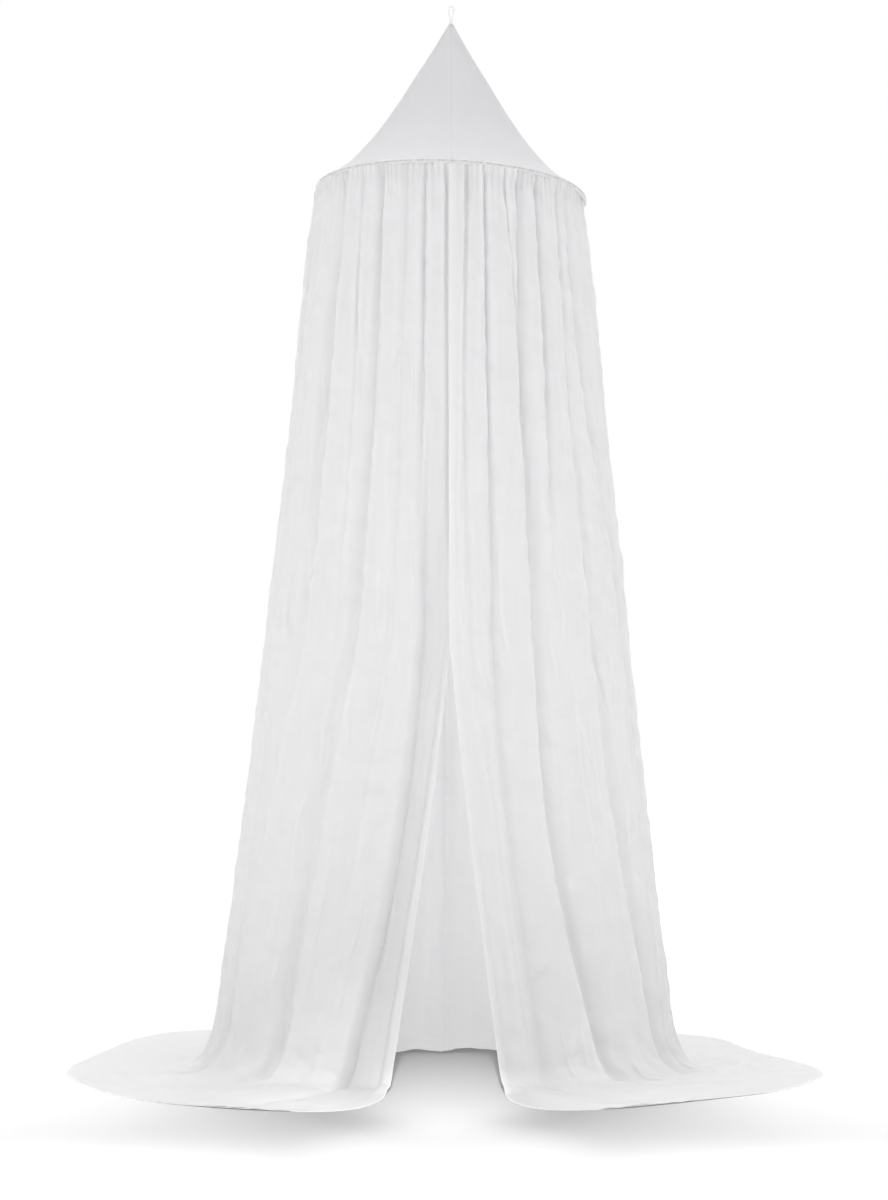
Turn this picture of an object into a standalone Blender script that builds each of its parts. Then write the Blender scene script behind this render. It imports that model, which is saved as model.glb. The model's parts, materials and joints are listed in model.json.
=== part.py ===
"""Mosquito net canopy on a plain hoop: a pointed cone of voile over a hoop in a sewn casing,
and a long skirt in four panels, gathered under the casing, open at the front and trailing on
the floor.

Lengths are metres. x is to the right and y away from the opening. Shapes are worked out with
z as the height above the floor. Each object is then lowered by HANG_HEIGHT, so the model's
origin is the top of the hanging loop.
"""

import math

import bpy
import numpy as np

# ---------------------------------------------------------------- driving sizes
HANG_HEIGHT = 1.980        # top of the hanging loop
CONE_TIP_HEIGHT = 1.946
HOOP_HEIGHT = 1.626        # middle of the hoop's wire, at the hoop's centre
HOOP_RADIUS = 0.246        # to the middle of the wire
HOOP_WIRE_RADIUS = 0.003
HOOP_LEAN = math.tan(math.radians(2.5))  # the hoop hangs a little lower on the right

PIECE_GAP = 0.0003         # between two sewn pieces
CASING_WALL = 0.001
CASING_SLIT = math.radians(20)  # where the casing's two edges meet, inside the hoop

CONE_CLOTH = 0.0012        # thickness
SKIRT_CLOTH = 0.0014       # thickness
LEFT_SEAM = 0.170          # share of the skirt's width where the left panel ends
BACK_SEAM = 0.4945         # where the two back panels meet, in a trough
RIGHT_SEAM = 0.825         # where the right panel begins
SEAM_SHARE = 0.00012       # half the gap at a seam, as a share of the width

CORD_RADIUS = 0.0012       # hanging loop
LOOP_HALF_WIDTH = 0.0043   # to the middle of the cord
LEG_HALF_APART = 0.0013    # where the cord's two legs enter the cone
LOOP_TAIL = 0.008          # sewn in below the tip

# The skirt where it stands on the floor: half sizes of its section, and the front opening.
STAND_LEFT = 0.456
STAND_RIGHT = 0.429
STAND_FRONT = 0.200
STAND_BACK = 0.240
OPEN_LEFT = math.radians(14)
OPEN_RIGHT = math.radians(12)
LEFT_UNDER = math.radians(1.0)   # at the hoop the left front edge passes the middle
RIGHT_OVER = math.radians(0.8)   # and the right one lies over it
OPEN_FROM = 0.50           # share of the drop down to which the front edges hang straight
EDGE_REACH = 0.11          # share of the width over which the front edges pull their panels
BEND_EDGE = 0.045          # size of the bend onto the floor, at the front edges
BEND_BODY = 0.110          # round the front and the sides
BEND_BACK = 0.050          # and at the back
EDGE_SWEEP = 0.260         # how far the front edges run forward before they turn outwards
RIDGE_ON_FLOOR = 0.012     # height of the folds where they reach the floor
RIDGE_AT_HEM = 0.0015
GATHERED = 0.02            # share of the drop over which the gathers open below the casing

# ---------------------------------------------------------------- tables
# Outline of the cone: radius, and height above the hoop.
CONE_PROFILE = (
    # radius, height
    (0.0034, 0.320),
    (0.0340, 0.266),
    (0.0680, 0.211),
    (0.1040, 0.153),
    (0.1400, 0.101),
    (0.1700, 0.066),
    (0.1980, 0.038),
    (0.2240, 0.018),
)

# The hem as it lies on the floor, from the left front corner round the back to the right one.
HEM_LINE = (
    # share of the hem, x, y
    (0.000, -0.374, -0.342),
    (0.032, -0.476, -0.319),
    (0.093, -0.620, -0.183),
    (0.167, -0.722, 0.035),
    (0.237, -0.697, 0.265),
    (0.337, -0.594, 0.575),
    (0.446, -0.250, 0.660),
    (0.523, 0.000, 0.670),
    (0.600, 0.250, 0.650),
    (0.700, 0.540, 0.500),
    (0.769, 0.609, 0.288),
    (0.858, 0.695, 0.016),
    (0.929, 0.575, -0.185),
    (1.000, 0.377, -0.299),
)

# Troughs between the folds of the front panels: half width on the side of the nearer front edge
# and on the far side, then the place and the depth at 0, 1/4, 1/2, 3/4 and the whole of the drop.
FRONT_TROUGHS = (
    # near, far, (places), (depths)
    (0.008, 0.008, (0.003, 0.003, 0.002, 0.001, 0.000), (0.012, 0.006, 0.004, 0.002, 0.001)),
    (0.004, 0.003, (0.009, 0.008, 0.006, 0.005, 0.005), (0.010, 0.006, 0.001, 0.000, 0.000)),
    (0.080, 0.005, (0.026, 0.028, 0.032, 0.025, 0.031), (0.000, 0.004, 0.030, 0.042, 0.050)),
    (0.005, 0.006, (0.033, 0.035, 0.036, 0.036, 0.036), (0.012, 0.012, 0.001, 0.000, 0.000)),
    (0.004, 0.007, (0.054, 0.056, 0.058, 0.060, 0.060), (0.006, 0.004, 0.003, 0.002, 0.002)),
    (0.004, 0.010, (0.084, 0.083, 0.088, 0.092, 0.092), (0.011, 0.015, 0.009, 0.003, 0.002)),
    (0.010, 0.014, (0.094, 0.092, 0.092, 0.098, 0.094), (0.000, 0.001, 0.006, 0.013, 0.018)),
    (0.003, 0.004, (0.109, 0.104, 0.104, 0.104, 0.104), (0.005, 0.004, 0.001, 0.000, 0.000)),
    (0.004, 0.022, (0.135, 0.135, 0.137, 0.150, 0.160), (0.015, 0.022, 0.016, 0.005, 0.003)),
    (0.014, 0.018, (0.150, 0.152, 0.158, 0.160, 0.165), (0.000, 0.002, 0.005, 0.006, 0.008)),
    (0.003, 0.005, (0.980, 0.984, 0.978, 0.975, 0.975), (0.010, 0.005, 0.002, 0.002, 0.002)),
    (0.004, 0.006, (0.961, 0.958, 0.955, 0.965, 0.967), (0.013, 0.013, 0.007, 0.002, 0.001)),
    (0.009, 0.011, (0.961, 0.958, 0.956, 0.964, 0.967), (0.000, 0.002, 0.007, 0.012, 0.016)),
    (0.002, 0.003, (0.938, 0.922, 0.918, 0.918, 0.918), (0.007, 0.003, 0.000, 0.000, 0.000)),
    (0.004, 0.012, (0.921, 0.922, 0.918, 0.928, 0.915), (0.013, 0.018, 0.018, 0.020, 0.024)),
    (0.004, 0.008, (0.895, 0.894, 0.902, 0.902, 0.902), (0.015, 0.015, 0.001, 0.000, 0.000)),
    (0.003, 0.007, (0.864, 0.868, 0.862, 0.860, 0.860), (0.011, 0.013, 0.004, 0.000, 0.000)),
    (0.004, 0.018, (0.862, 0.862, 0.862, 0.863, 0.850), (0.000, 0.002, 0.008, 0.018, 0.024)),
    (0.006, 0.015, (0.850, 0.839, 0.814, 0.808, 0.800), (0.009, 0.021, 0.016, 0.006, 0.003)),
)
BACK_TROUGHS = 13          # between the two side seams
BACK_DEPTHS = (0.010, 0.020, 0.026, 0.027, 0.019)  # at the same five levels
BACK_HALF_WIDTHS = (0.009, 0.015)

PANELS = (
    # name, starts at, ends at, columns
    ("skirt_left", 0.0, LEFT_SEAM, 40),
    ("skirt_back_left", LEFT_SEAM, BACK_SEAM, 33),
    ("skirt_back_right", BACK_SEAM, RIGHT_SEAM, 33),
    ("skirt_right", RIGHT_SEAM, 1.0, 50),
)
DROP_ROWS, BEND_ROWS, FLOOR_ROWS = 8, 5, 4
RING_STEPS = 60
CONE_STEPS = 26            # round one half of the cone


# ---------------------------------------------------------------- small helpers
def smooth(x):
    x = np.clip(x, 0.0, 1.0)
    return x * x * (3.0 - 2.0 * x)


def unit(vectors):
    return vectors / np.linalg.norm(vectors, axis=-1, keepdims=True)


def through(rows, at):
    """A smooth curve through rows of (place, value, ...), read at an array of places."""
    table = np.array(rows, float)
    place, value = table[:, 0], table[:, 1:]
    slope = np.gradient(value, place, axis=0)
    at = np.asarray(at, float)
    i = np.clip(np.searchsorted(place, at) - 1, 0, len(place) - 2)
    span = place[i + 1] - place[i]
    u = ((at - place[i]) / span)[..., None]
    span = span[..., None]
    start = (2 * u**3 - 3 * u**2 + 1) * value[i] + (u**3 - 2 * u**2 + u) * span * slope[i]
    end = (3 * u**2 - 2 * u**3) * value[i + 1] + (u**3 - u**2) * span * slope[i + 1]
    return start + end


def by_level(values, drop):
    """A smooth curve through values at 0, 1/4, 1/2, 3/4 and the whole of the drop."""
    return through([(i / 4, value) for i, value in enumerate(values)], drop)[..., 0]


# ---------------------------------------------------------------- the skirt's form
def hoop_line(share):
    """Where the cloth leaves the casing, round the hoop from the front, left side first."""
    turn = LEFT_UNDER - share * (2 * math.pi + LEFT_UNDER + RIGHT_OVER)
    x = HOOP_RADIUS * np.sin(turn)
    y = -HOOP_RADIUS * np.cos(turn)
    below = HOOP_WIRE_RADIUS + PIECE_GAP + CASING_WALL + PIECE_GAP
    return np.stack([x, y, HOOP_HEIGHT - below - HOOP_LEAN * x], -1)


def stand_line(share):
    """The section in which the skirt stands on the floor, without its folds."""
    turn = -(OPEN_LEFT + share * (2 * math.pi - OPEN_LEFT - OPEN_RIGHT))
    half_width = np.where(np.sin(turn) < 0, STAND_LEFT, STAND_RIGHT)
    half_depth = np.where(np.cos(turn) > 0, STAND_FRONT, STAND_BACK)
    return np.stack([half_width * np.sin(turn), -half_depth * np.cos(turn)], -1)


def edge_pull(share):
    """1 at the two front edges, 0 away from them."""
    near = np.minimum(share, 1 - share) / EDGE_REACH
    return np.exp(-near * near)


def drop_line(share, drop):
    """The hanging stretch without folds, from the hoop (drop 0) to the floor (drop 1)."""
    top, foot = hoop_line(share), stand_line(share)
    opened = np.clip((drop - OPEN_FROM) / (1 - OPEN_FROM), 0, 1)
    held_back = opened**1.15
    spread = drop + (held_back - drop) * edge_pull(share)
    flat = top[..., :2] + (foot - top[..., :2]) * spread[..., None]
    return np.concatenate([flat, (top[..., 2] * (1 - drop))[..., None]], -1)


def base_cloth(share, level):
    """The skirt without folds. level is 0 to 1 down the drop, 1 to 2 in the bend onto the
    floor, and 2 to 3 along the floor to the hem."""
    pull = edge_pull(share)
    behind = smooth(1.6 - np.abs(share - 0.5) / 0.15)
    bend = BEND_BODY + (BEND_EDGE - BEND_BODY) * pull + (BEND_BACK - BEND_BODY) * behind
    top_height = hoop_line(share)[..., 2]
    bend_starts = 1 - bend / top_height
    hanging = drop_line(share, np.clip(level, 0, 1) * bend_starts)

    step = 0.002
    start = drop_line(share, bend_starts)
    slope = (start - drop_line(share, bend_starts - step)) / step
    corner = start + slope * (1 - bend_starts)[..., None]
    corner[..., 2] = 0.0

    hem = through(HEM_LINE, share)
    side = 0.001
    along = unit(stand_line(np.clip(share + side, 0, 1)) - stand_line(np.clip(share - side, 0, 1)))
    outward = np.stack([-along[..., 1], along[..., 0]], -1)
    outward = outward * np.sign(np.sum(outward * corner[..., :2], -1, keepdims=True))
    straight = hem - corner[..., :2]
    reach = np.linalg.norm(straight, axis=-1, keepdims=True)
    forward = pull[..., None] ** 4
    heading = unit(straight / reach * (1 - forward) + outward * forward)
    landing = corner[..., :2] + heading * bend[..., None]
    turning = landing + heading * (0.4 * reach * (1 - forward) + EDGE_SWEEP * forward)

    w = np.clip(level - 1, 0, 1)[..., None]
    landed = np.concatenate([landing, np.zeros_like(landing[..., :1])], -1)
    bending = (1 - w) ** 2 * start + 2 * w * (1 - w) * corner + w * w * landed
    w = np.clip(level - 2, 0, 1)[..., None]
    flat = (1 - w) ** 2 * landing + 2 * w * (1 - w) * turning + w * w * hem
    lying = np.concatenate([flat, np.zeros_like(flat[..., :1])], -1)
    return np.where((level <= 1)[..., None], hanging, np.where((level <= 2)[..., None], bending, lying))


def troughs():
    """Every trough: those of the front, and a run of uneven ones across the back panels."""
    rows = list(FRONT_TROUGHS)
    step = (RIGHT_SEAM - LEFT_SEAM) / BACK_TROUGHS
    for i in range(BACK_TROUGHS):
        uneven = math.sin(2.3 * i + 2.18)
        place = LEFT_SEAM + (i + 0.5 + 0.22 * uneven) * step
        calm = 0.45 * math.exp(-(((place - BACK_SEAM) / 0.03) ** 2))
        calm += 0.35 * math.exp(-(((place - LEFT_SEAM) / 0.04) ** 2))
        strength = 1 + 0.3 * math.sin(1.7 * i + 4.4) - calm
        places = [place + bow * step * uneven for bow in (0.0, 0.07, 0.1, 0.07, 0.0)]
        depths = [depth * strength for depth in BACK_DEPTHS]
        rows.append((*BACK_HALF_WIDTHS, places, depths))
    return rows


def fold_depth(share, drop):
    """How far the troughs lie behind the ridges. A trough has one half width on the side of the
    nearer front edge and another on the far side, and both are narrower at the hoop."""
    depth = np.zeros(np.broadcast(share, drop).shape)
    opened = 0.75 + 0.25 * smooth(drop / 0.5)
    for near, far, places, depths in troughs():
        to_front = -1 if places[0] < 0.5 else 1
        off = (share - by_level(places, drop)) * to_front
        half_width = np.where(off > 0, near, far) * opened
        depth += np.maximum(by_level(depths, drop), 0) / (1 + (off / half_width) ** 2) ** 2
    return depth * (0.25 + 0.75 * smooth(drop / GATHERED))


def fullness(share, drop):
    """The gathers push the cloth out a little below the hoop, most of all on the left."""
    left = np.exp(-(((share - 0.24) / 0.10) ** 2))
    below = drop / 0.07
    return (0.002 + 0.006 * left) * below * np.exp(1 - below)


def cloth(share, level):
    """The middle of the skirt's cloth, with its folds."""
    base = base_cloth(share, level)
    a, b = np.clip(share - 0.0005, 0, 1), np.clip(share + 0.0005, 0, 1)
    c, d = np.clip(level - 0.004, 0, 3), np.clip(level + 0.004, 0, 3)
    across = base_cloth(b, level) - base_cloth(a, level)
    down = base_cloth(share, d) - base_cloth(share, c)
    normal = unit(np.cross(across, down))
    landed = smooth(level - 1)
    lift = RIDGE_ON_FLOOR + (RIDGE_AT_HEM - RIDGE_ON_FLOOR) * smooth(level - 2)
    keep = 1 - 0.6 * landed - 0.35 * smooth(level - 2)
    drop = np.clip(level, 0, 1)
    rise = lift * landed + fullness(share, drop) - fold_depth(share, drop) * keep
    folded = base + normal * rise[..., None]
    lowest = SKIRT_CLOTH / 2 + PIECE_GAP
    above = folded[..., 2] - lowest
    soft = 0.002
    folded[..., 2] = lowest + 0.5 * (above + np.sqrt(above * above + soft * soft))
    return folded


def cloth_normal(share, level):
    near, far = np.clip(share - 0.001, 0, 1), np.clip(share + 0.001, 0, 1)
    above, below = np.clip(level - 0.01, 0, 3), np.clip(level + 0.01, 0, 3)
    across = cloth(far, level) - cloth(near, level)
    down = cloth(share, below) - cloth(share, above)
    return unit(np.cross(across, down))


# ---------------------------------------------------------------- meshes
def add_object(name, points, faces, colour, roughness):
    mesh = bpy.data.meshes.new(name)
    mesh.from_pydata([tuple(p) for p in points], [], faces)
    mesh.update()
    mesh.shade_smooth()
    mesh.set_sharp_from_angle(angle=math.radians(50))
    material = bpy.data.materials.new(name)
    material.use_nodes = True
    shader = material.node_tree.nodes["Principled BSDF"]
    shader.inputs["Base Color"].default_value = (*colour, 1)
    shader.inputs["Roughness"].default_value = roughness
    mesh.materials.append(material)
    made = bpy.data.objects.new(name, mesh)
    made.location.z = -HANG_HEIGHT
    bpy.context.collection.objects.link(made)
    return made


def sheet_mesh(middle, normal, thickness):
    """A closed thin sheet round a grid of points that runs across and down."""
    outer = middle + normal * thickness / 2
    inner = middle - normal * thickness / 2
    columns, rows = middle.shape[:2]
    points = np.concatenate([outer.reshape(-1, 3), inner.reshape(-1, 3)])
    inside = columns * rows

    def at(i, j):
        return i * rows + j

    faces = []
    for i in range(columns - 1):
        for j in range(rows - 1):
            quad = (at(i, j), at(i + 1, j), at(i + 1, j + 1), at(i, j + 1))
            for a, b, c in ((0, 1, 2), (0, 2, 3)):
                faces.append((quad[a], quad[b], quad[c]))
                faces.append((quad[c] + inside, quad[b] + inside, quad[a] + inside))
    rim = [at(i, 0) for i in range(columns)]
    rim += [at(columns - 1, j) for j in range(1, rows)]
    rim += [at(i, rows - 1) for i in range(columns - 2, -1, -1)]
    rim += [at(0, j) for j in range(rows - 2, 0, -1)]
    for here, there in zip(rim, rim[1:] + rim[:1]):
        if here < there:  # both sides of a seam split their rims along the same diagonals
            faces.append((here, here + inside, there + inside))
            faces.append((here, there + inside, there))
        else:
            faces.append((here, here + inside, there))
            faces.append((here + inside, there + inside, there))
    return points, faces


def ring_mesh(section, steps):
    """A closed section of (radius, height) points swept round the hoop."""
    points, faces, n = [], [], len(section)
    for i in range(steps):
        turn = 2 * math.pi * i / steps
        for radius, height in section:
            x = radius * math.sin(turn)
            points.append((x, -radius * math.cos(turn), HOOP_HEIGHT + height - HOOP_LEAN * x))
    for i in range(steps):
        for k in range(n):
            a, b = i * n, (i + 1) % steps * n
            faces.append((a + k, b + k, b + (k + 1) % n, a + (k + 1) % n))
    return points, faces


def arc(radius, start, end, count):
    """Points of a section round the hoop's wire, as (radius from the axis, height)."""
    turns = [start + (end - start) * i / (count - 1) for i in range(count)]
    return [(HOOP_RADIUS + radius * math.cos(t), radius * math.sin(t)) for t in turns]


def tube_mesh(path, radius, sides):
    """A round cord with flat ends along a path in the x-z plane."""
    path = np.array(path)
    ahead = unit(np.gradient(path, axis=0))
    depth = np.array([0.0, 1.0, 0.0])
    points, faces, n = [], [], len(path)
    for point, direction in zip(path, ahead):
        sideways = np.cross(depth, direction)
        for k in range(sides):
            turn = 2 * math.pi * k / sides
            points.append(point + radius * (math.cos(turn) * sideways + math.sin(turn) * depth))
    for i in range(n - 1):
        for k in range(sides):
            a, b = i * sides + k, i * sides + (k + 1) % sides
            faces.append((a, b, b + sides, a + sides))
    faces.append(tuple(reversed(range(sides))))
    faces.append(tuple((n - 1) * sides + k for k in range(sides)))
    return points, faces


# ---------------------------------------------------------------- the pieces
def make_hoop():
    section = arc(HOOP_WIRE_RADIUS, 0, 2 * math.pi * 7 / 8, 8)
    points, faces = ring_mesh(section, RING_STEPS)
    add_object("hoop", points, faces, (0.75, 0.76, 0.78), 0.35)


def make_casing():
    inner = HOOP_WIRE_RADIUS + PIECE_GAP
    outer = inner + CASING_WALL
    start = math.pi + CASING_SLIT / 2
    end = 3 * math.pi - CASING_SLIT / 2
    section = arc(outer, start, end, 12) + arc(inner, end, start, 12)
    points, faces = ring_mesh(section, RING_STEPS)
    add_object("hoop_casing", points, faces, (0.86, 0.86, 0.86), 0.9)


def make_cone():
    foot = HOOP_WIRE_RADIUS + PIECE_GAP + CASING_WALL + PIECE_GAP + CONE_CLOTH / 2
    profile = CONE_PROFILE + ((HOOP_RADIUS, foot),)
    for name, first, last, apart in (
        ("cone_left", 0.0, -math.pi, -1),
        ("cone_right", math.pi, 0.0, 1),
    ):
        turns = np.linspace(first, last, CONE_STEPS + 1)[:, None]
        radius = np.array([row[0] for row in profile])
        height = np.array([row[1] for row in profile])
        x = radius * np.sin(turns)
        y = -radius * np.cos(turns)
        z = HOOP_HEIGHT + height - HOOP_LEAN * x
        x = x + apart * PIECE_GAP / 2
        middle = np.stack([x, y, z], -1)
        normal = unit(np.cross(np.gradient(middle, axis=0), np.gradient(middle, axis=1)))
        points, faces = sheet_mesh(middle, normal, CONE_CLOTH)
        add_object(name, points, faces, (0.80, 0.80, 0.81), 0.9)


def make_loop():
    top = HANG_HEIGHT - CORD_RADIUS - LOOP_HALF_WIDTH
    bottom = CONE_TIP_HEIGHT - LOOP_TAIL
    leg = []
    for i in range(9):
        z = bottom + (top - bottom) * i / 9
        wide = float(smooth((z - CONE_TIP_HEIGHT) / (top - CONE_TIP_HEIGHT)))
        leg.append((-(LEG_HALF_APART + (LOOP_HALF_WIDTH - LEG_HALF_APART) * wide), 0.0, z))
    crown = []
    for i in range(9):
        turn = math.pi * i / 8
        crown.append((-LOOP_HALF_WIDTH * math.cos(turn), 0.0, top + LOOP_HALF_WIDTH * math.sin(turn)))
    path = leg + crown + [(-x, y, z) for x, y, z in reversed(leg)]
    points, faces = tube_mesh(path, CORD_RADIUS, 8)
    add_object("hanging_loop", points, faces, (0.88, 0.88, 0.88), 0.85)


def columns_across(start, end, count):
    """Places across a panel, closer together at the troughs."""
    places = np.linspace(start, end, 2001)
    crowd = np.ones_like(places)
    for near, far, across, _ in troughs():
        crowd += 1.6 * np.exp(-(((places - across[1]) / (near + far)) ** 2))
    run = np.concatenate([[0], np.cumsum(crowd[1:] + crowd[:-1])])
    return np.interp(np.linspace(0, run[-1], count + 1), run, places)


def make_skirt():
    levels = np.concatenate(
        [
            np.linspace(0, 1, DROP_ROWS + 1),
            np.linspace(1, 2, BEND_ROWS + 1)[1:],
            np.linspace(2, 3, FLOOR_ROWS + 1)[1:],
        ]
    )
    for name, start, end, columns in PANELS:
        start = start + (SEAM_SHARE if start > 0 else 0)
        end = end - (SEAM_SHARE if end < 1 else 0)
        places = columns_across(start, end, columns)
        share, level = np.meshgrid(places, levels, indexing="ij")
        points, faces = sheet_mesh(cloth(share, level), cloth_normal(share, level), SKIRT_CLOTH)
        add_object(name, points, faces, (0.88, 0.88, 0.88), 0.9)


def main():
    for old in list(bpy.data.objects):
        bpy.data.objects.remove(old, do_unlink=True)
    make_loop()
    make_cone()
    make_hoop()
    make_casing()
    make_skirt()


main()
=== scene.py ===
"""Looks of the mosquito net canopy: the voile skirt with its folds, gathers, hems and puckered
seams, the cone, the gathered casing over the hoop and the twisted hanging loop.

Lengths are metres. x is to the right, y away from the opening and z up, from the top of the
hanging loop. Shapes are worked out as heights above the floor and lowered by HANG_HEIGHT.

A place on the skirt is a share and a level. The share runs round it, from the left front edge (0)
to the right one (1). The level runs down it: 0 to 1 from the hoop towards the floor, 1 to 2 in the
bend onto the floor, and 2 to 3 along the floor to the hem. The drop is the level, at most 1.
"""

import json
import math

import bpy
import numpy as np
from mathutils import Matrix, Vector

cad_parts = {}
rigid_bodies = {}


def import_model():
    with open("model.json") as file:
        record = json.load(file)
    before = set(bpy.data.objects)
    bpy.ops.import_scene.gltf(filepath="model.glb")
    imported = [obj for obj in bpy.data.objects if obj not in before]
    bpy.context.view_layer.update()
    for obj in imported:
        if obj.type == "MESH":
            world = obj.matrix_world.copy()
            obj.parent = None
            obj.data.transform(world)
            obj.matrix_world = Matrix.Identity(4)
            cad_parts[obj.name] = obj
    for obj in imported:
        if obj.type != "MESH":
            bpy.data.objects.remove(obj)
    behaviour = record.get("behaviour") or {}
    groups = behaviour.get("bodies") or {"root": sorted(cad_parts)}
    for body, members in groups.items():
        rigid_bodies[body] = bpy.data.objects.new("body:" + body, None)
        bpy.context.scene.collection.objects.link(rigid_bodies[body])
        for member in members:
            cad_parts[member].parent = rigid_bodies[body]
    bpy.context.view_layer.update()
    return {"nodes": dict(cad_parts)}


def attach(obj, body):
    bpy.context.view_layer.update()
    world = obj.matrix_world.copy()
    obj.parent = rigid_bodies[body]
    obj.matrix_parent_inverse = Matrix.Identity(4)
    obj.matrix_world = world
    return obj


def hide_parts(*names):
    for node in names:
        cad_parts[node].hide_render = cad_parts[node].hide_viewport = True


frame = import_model()

# ---------- sizes of the frame
HANG_HEIGHT = 1.980  # top of the hanging loop
CONE_TIP_HEIGHT = 1.946
HOOP_HEIGHT = 1.626  # middle of the hoop's wire, at the hoop's centre
HOOP_RADIUS = 0.246  # to the middle of the wire
HOOP_WIRE_RADIUS = 0.003
HOOP_LEAN = math.tan(math.radians(2.5))  # the hoop hangs a little lower on the right
PIECE_GAP = 0.0003
CASING_WALL = 0.001
SKIRT_CLOTH = 0.0014  # thickness of the solid cloth

LEFT_SEAM = 0.170  # shares of the skirt's width where its panels meet
BACK_SEAM = 0.4945
RIGHT_SEAM = 0.825

CORD_RADIUS = 0.0012
LOOP_HALF_WIDTH = 0.0043
LEG_HALF_APART = 0.0013
LOOP_TAIL = 0.008

STAND_LEFT = 0.456  # half sizes of the section in which the skirt stands on the floor
STAND_RIGHT = 0.429
STAND_FRONT = 0.200
STAND_BACK = 0.240
OPEN_LEFT = math.radians(14)  # turn from the middle of the front to the feet of its edges
OPEN_RIGHT = math.radians(12)
LEFT_UNDER = math.radians(1.0)  # and how far the edges pass the middle at the hoop
RIGHT_OVER = math.radians(0.8)
OPEN_FROM = 0.50  # drop from which the front edges part
OPEN_CURVE = 1.15  # above 1, they part later and faster
EDGE_REACH = 0.11  # share of the skirt that follows its front edges
BEND_EDGE = 0.045  # height and length of the bend onto the floor, at the front edges
BEND_BODY = 0.110  # over most of the skirt
BEND_BACK = 0.050  # and at the back
EDGE_SWEEP = 0.260  # how far the front edges run forward before they turn to the hem
SIDE_SWEEP = 0.4  # and the same over the rest, as a share of the way to the hem
RIDGE_ON_FLOOR = 0.012
RIDGE_AT_HEM = 0.0015
FOLD_LOST_IN_BEND = 0.6  # share of the folds' depth that is lost in the bend
FOLD_LOST_ON_FLOOR = 0.35  # and then along the floor
GATHERED = 0.02  # share of the drop over which the gathers open below the casing
FULL_AT = 0.07  # drop at which the gathers push the cloth out most
FULL_ALL_ROUND = 0.002
FULL_ON_LEFT = 0.006
SETTLING = 0.002  # how softly the cloth meets the floor

CONE_PROFILE = (
    # radius, height above the hoop
    (0.0034, 0.320),
    (0.0340, 0.266),
    (0.0680, 0.211),
    (0.1040, 0.153),
    (0.1400, 0.101),
    (0.1700, 0.066),
    (0.1980, 0.038),
    (0.2240, 0.018),
    (0.2460, 0.0052),
)

HEM_LINE = (
    # share of the hem, x, y
    (0.000, -0.374, -0.342),
    (0.032, -0.476, -0.319),
    (0.093, -0.620, -0.183),
    (0.167, -0.722, 0.035),
    (0.237, -0.697, 0.265),
    (0.337, -0.594, 0.575),
    (0.446, -0.250, 0.660),
    (0.523, 0.000, 0.670),
    (0.600, 0.250, 0.650),
    (0.700, 0.540, 0.500),
    (0.769, 0.609, 0.288),
    (0.858, 0.695, 0.016),
    (0.929, 0.575, -0.185),
    (1.000, 0.377, -0.299),
)

# Troughs between the folds of the front panels, in thousandths of a share or of a metre: half
# width on the side of the nearer front edge and on the far side, then the place and the depth at
# 0, 1/4, 1/2, 3/4 and the whole of the drop.
FRONT_TROUGHS = (
    # near, far, (places), (depths)
    (8, 8, (3, 3, 2, 1, 0), (12, 6, 4, 2, 1)),
    (4, 3, (9, 8, 6, 5, 5), (10, 6, 1, 0, 0)),
    (80, 5, (26, 28, 32, 25, 31), (0, 4, 30, 42, 50)),
    (5, 6, (33, 35, 36, 36, 36), (12, 12, 1, 0, 0)),
    (4, 7, (54, 56, 58, 60, 60), (6, 4, 3, 2, 2)),
    (4, 10, (84, 83, 88, 92, 92), (11, 15, 9, 3, 2)),
    (10, 14, (94, 92, 92, 98, 94), (0, 1, 6, 13, 18)),
    (3, 4, (109, 104, 104, 104, 104), (5, 4, 1, 0, 0)),
    (4, 22, (135, 135, 137, 150, 160), (15, 22, 16, 5, 3)),
    (14, 18, (150, 152, 158, 160, 165), (0, 2, 5, 6, 8)),
    (3, 5, (980, 984, 978, 975, 975), (10, 5, 2, 2, 2)),
    (4, 6, (961, 958, 955, 965, 967), (13, 13, 7, 2, 1)),
    (9, 11, (961, 958, 956, 964, 967), (0, 2, 7, 12, 16)),
    (2, 3, (938, 922, 918, 918, 918), (7, 3, 0, 0, 0)),
    (4, 12, (921, 922, 918, 928, 915), (13, 18, 18, 20, 24)),
    (4, 8, (895, 894, 902, 902, 902), (15, 15, 1, 0, 0)),
    (3, 7, (864, 868, 862, 860, 860), (11, 13, 4, 0, 0)),
    (4, 18, (862, 862, 862, 863, 850), (0, 2, 8, 18, 24)),
    (6, 15, (850, 839, 814, 808, 800), (9, 21, 16, 6, 3)),
)
BACK_TROUGHS = 13
BACK_DEPTHS = (0.010, 0.020, 0.026, 0.027, 0.019)
BACK_HALF_WIDTHS = (0.009, 0.015)
BACK_BOW = (0.0, 0.07, 0.1, 0.07, 0.0)  # how far a back trough bows sideways down the drop

# ---------- sizes of the cloth's detail
VOILE = 0.0006  # thickness of one layer as it is drawn
HEM_VOILE = 0.0013  # and where it is turned over and sewn
HEM_WIDTH = 0.012
HEM_CLEARANCE = 0.0001  # between the hem and the floor
SEAM_GAP = 0.00003  # half the gap at a seam, as a share of the skirt's width
HEM_LENGTH = 3.29  # of the four panels together, laid flat
GRAIN_WIDTH = 2.3  # width of the skirt on which weave and creases are laid out evenly
CREASE_WIDTH = 2.1  # and on which the placed creases and the curls are measured
# Bends at which the folds' painted light on ridges and painted shade in valleys run full.
SHARP_BEND = 240  # bend, per metre, of a fully sharp ridge
SHARPEST_VALLEY = -0.4
DOWN_BEND = 0.8  # weight of the bends down the cloth beside those across
CREASE_GAIN = 2.4  # over the heights of the table of placed creases

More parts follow.
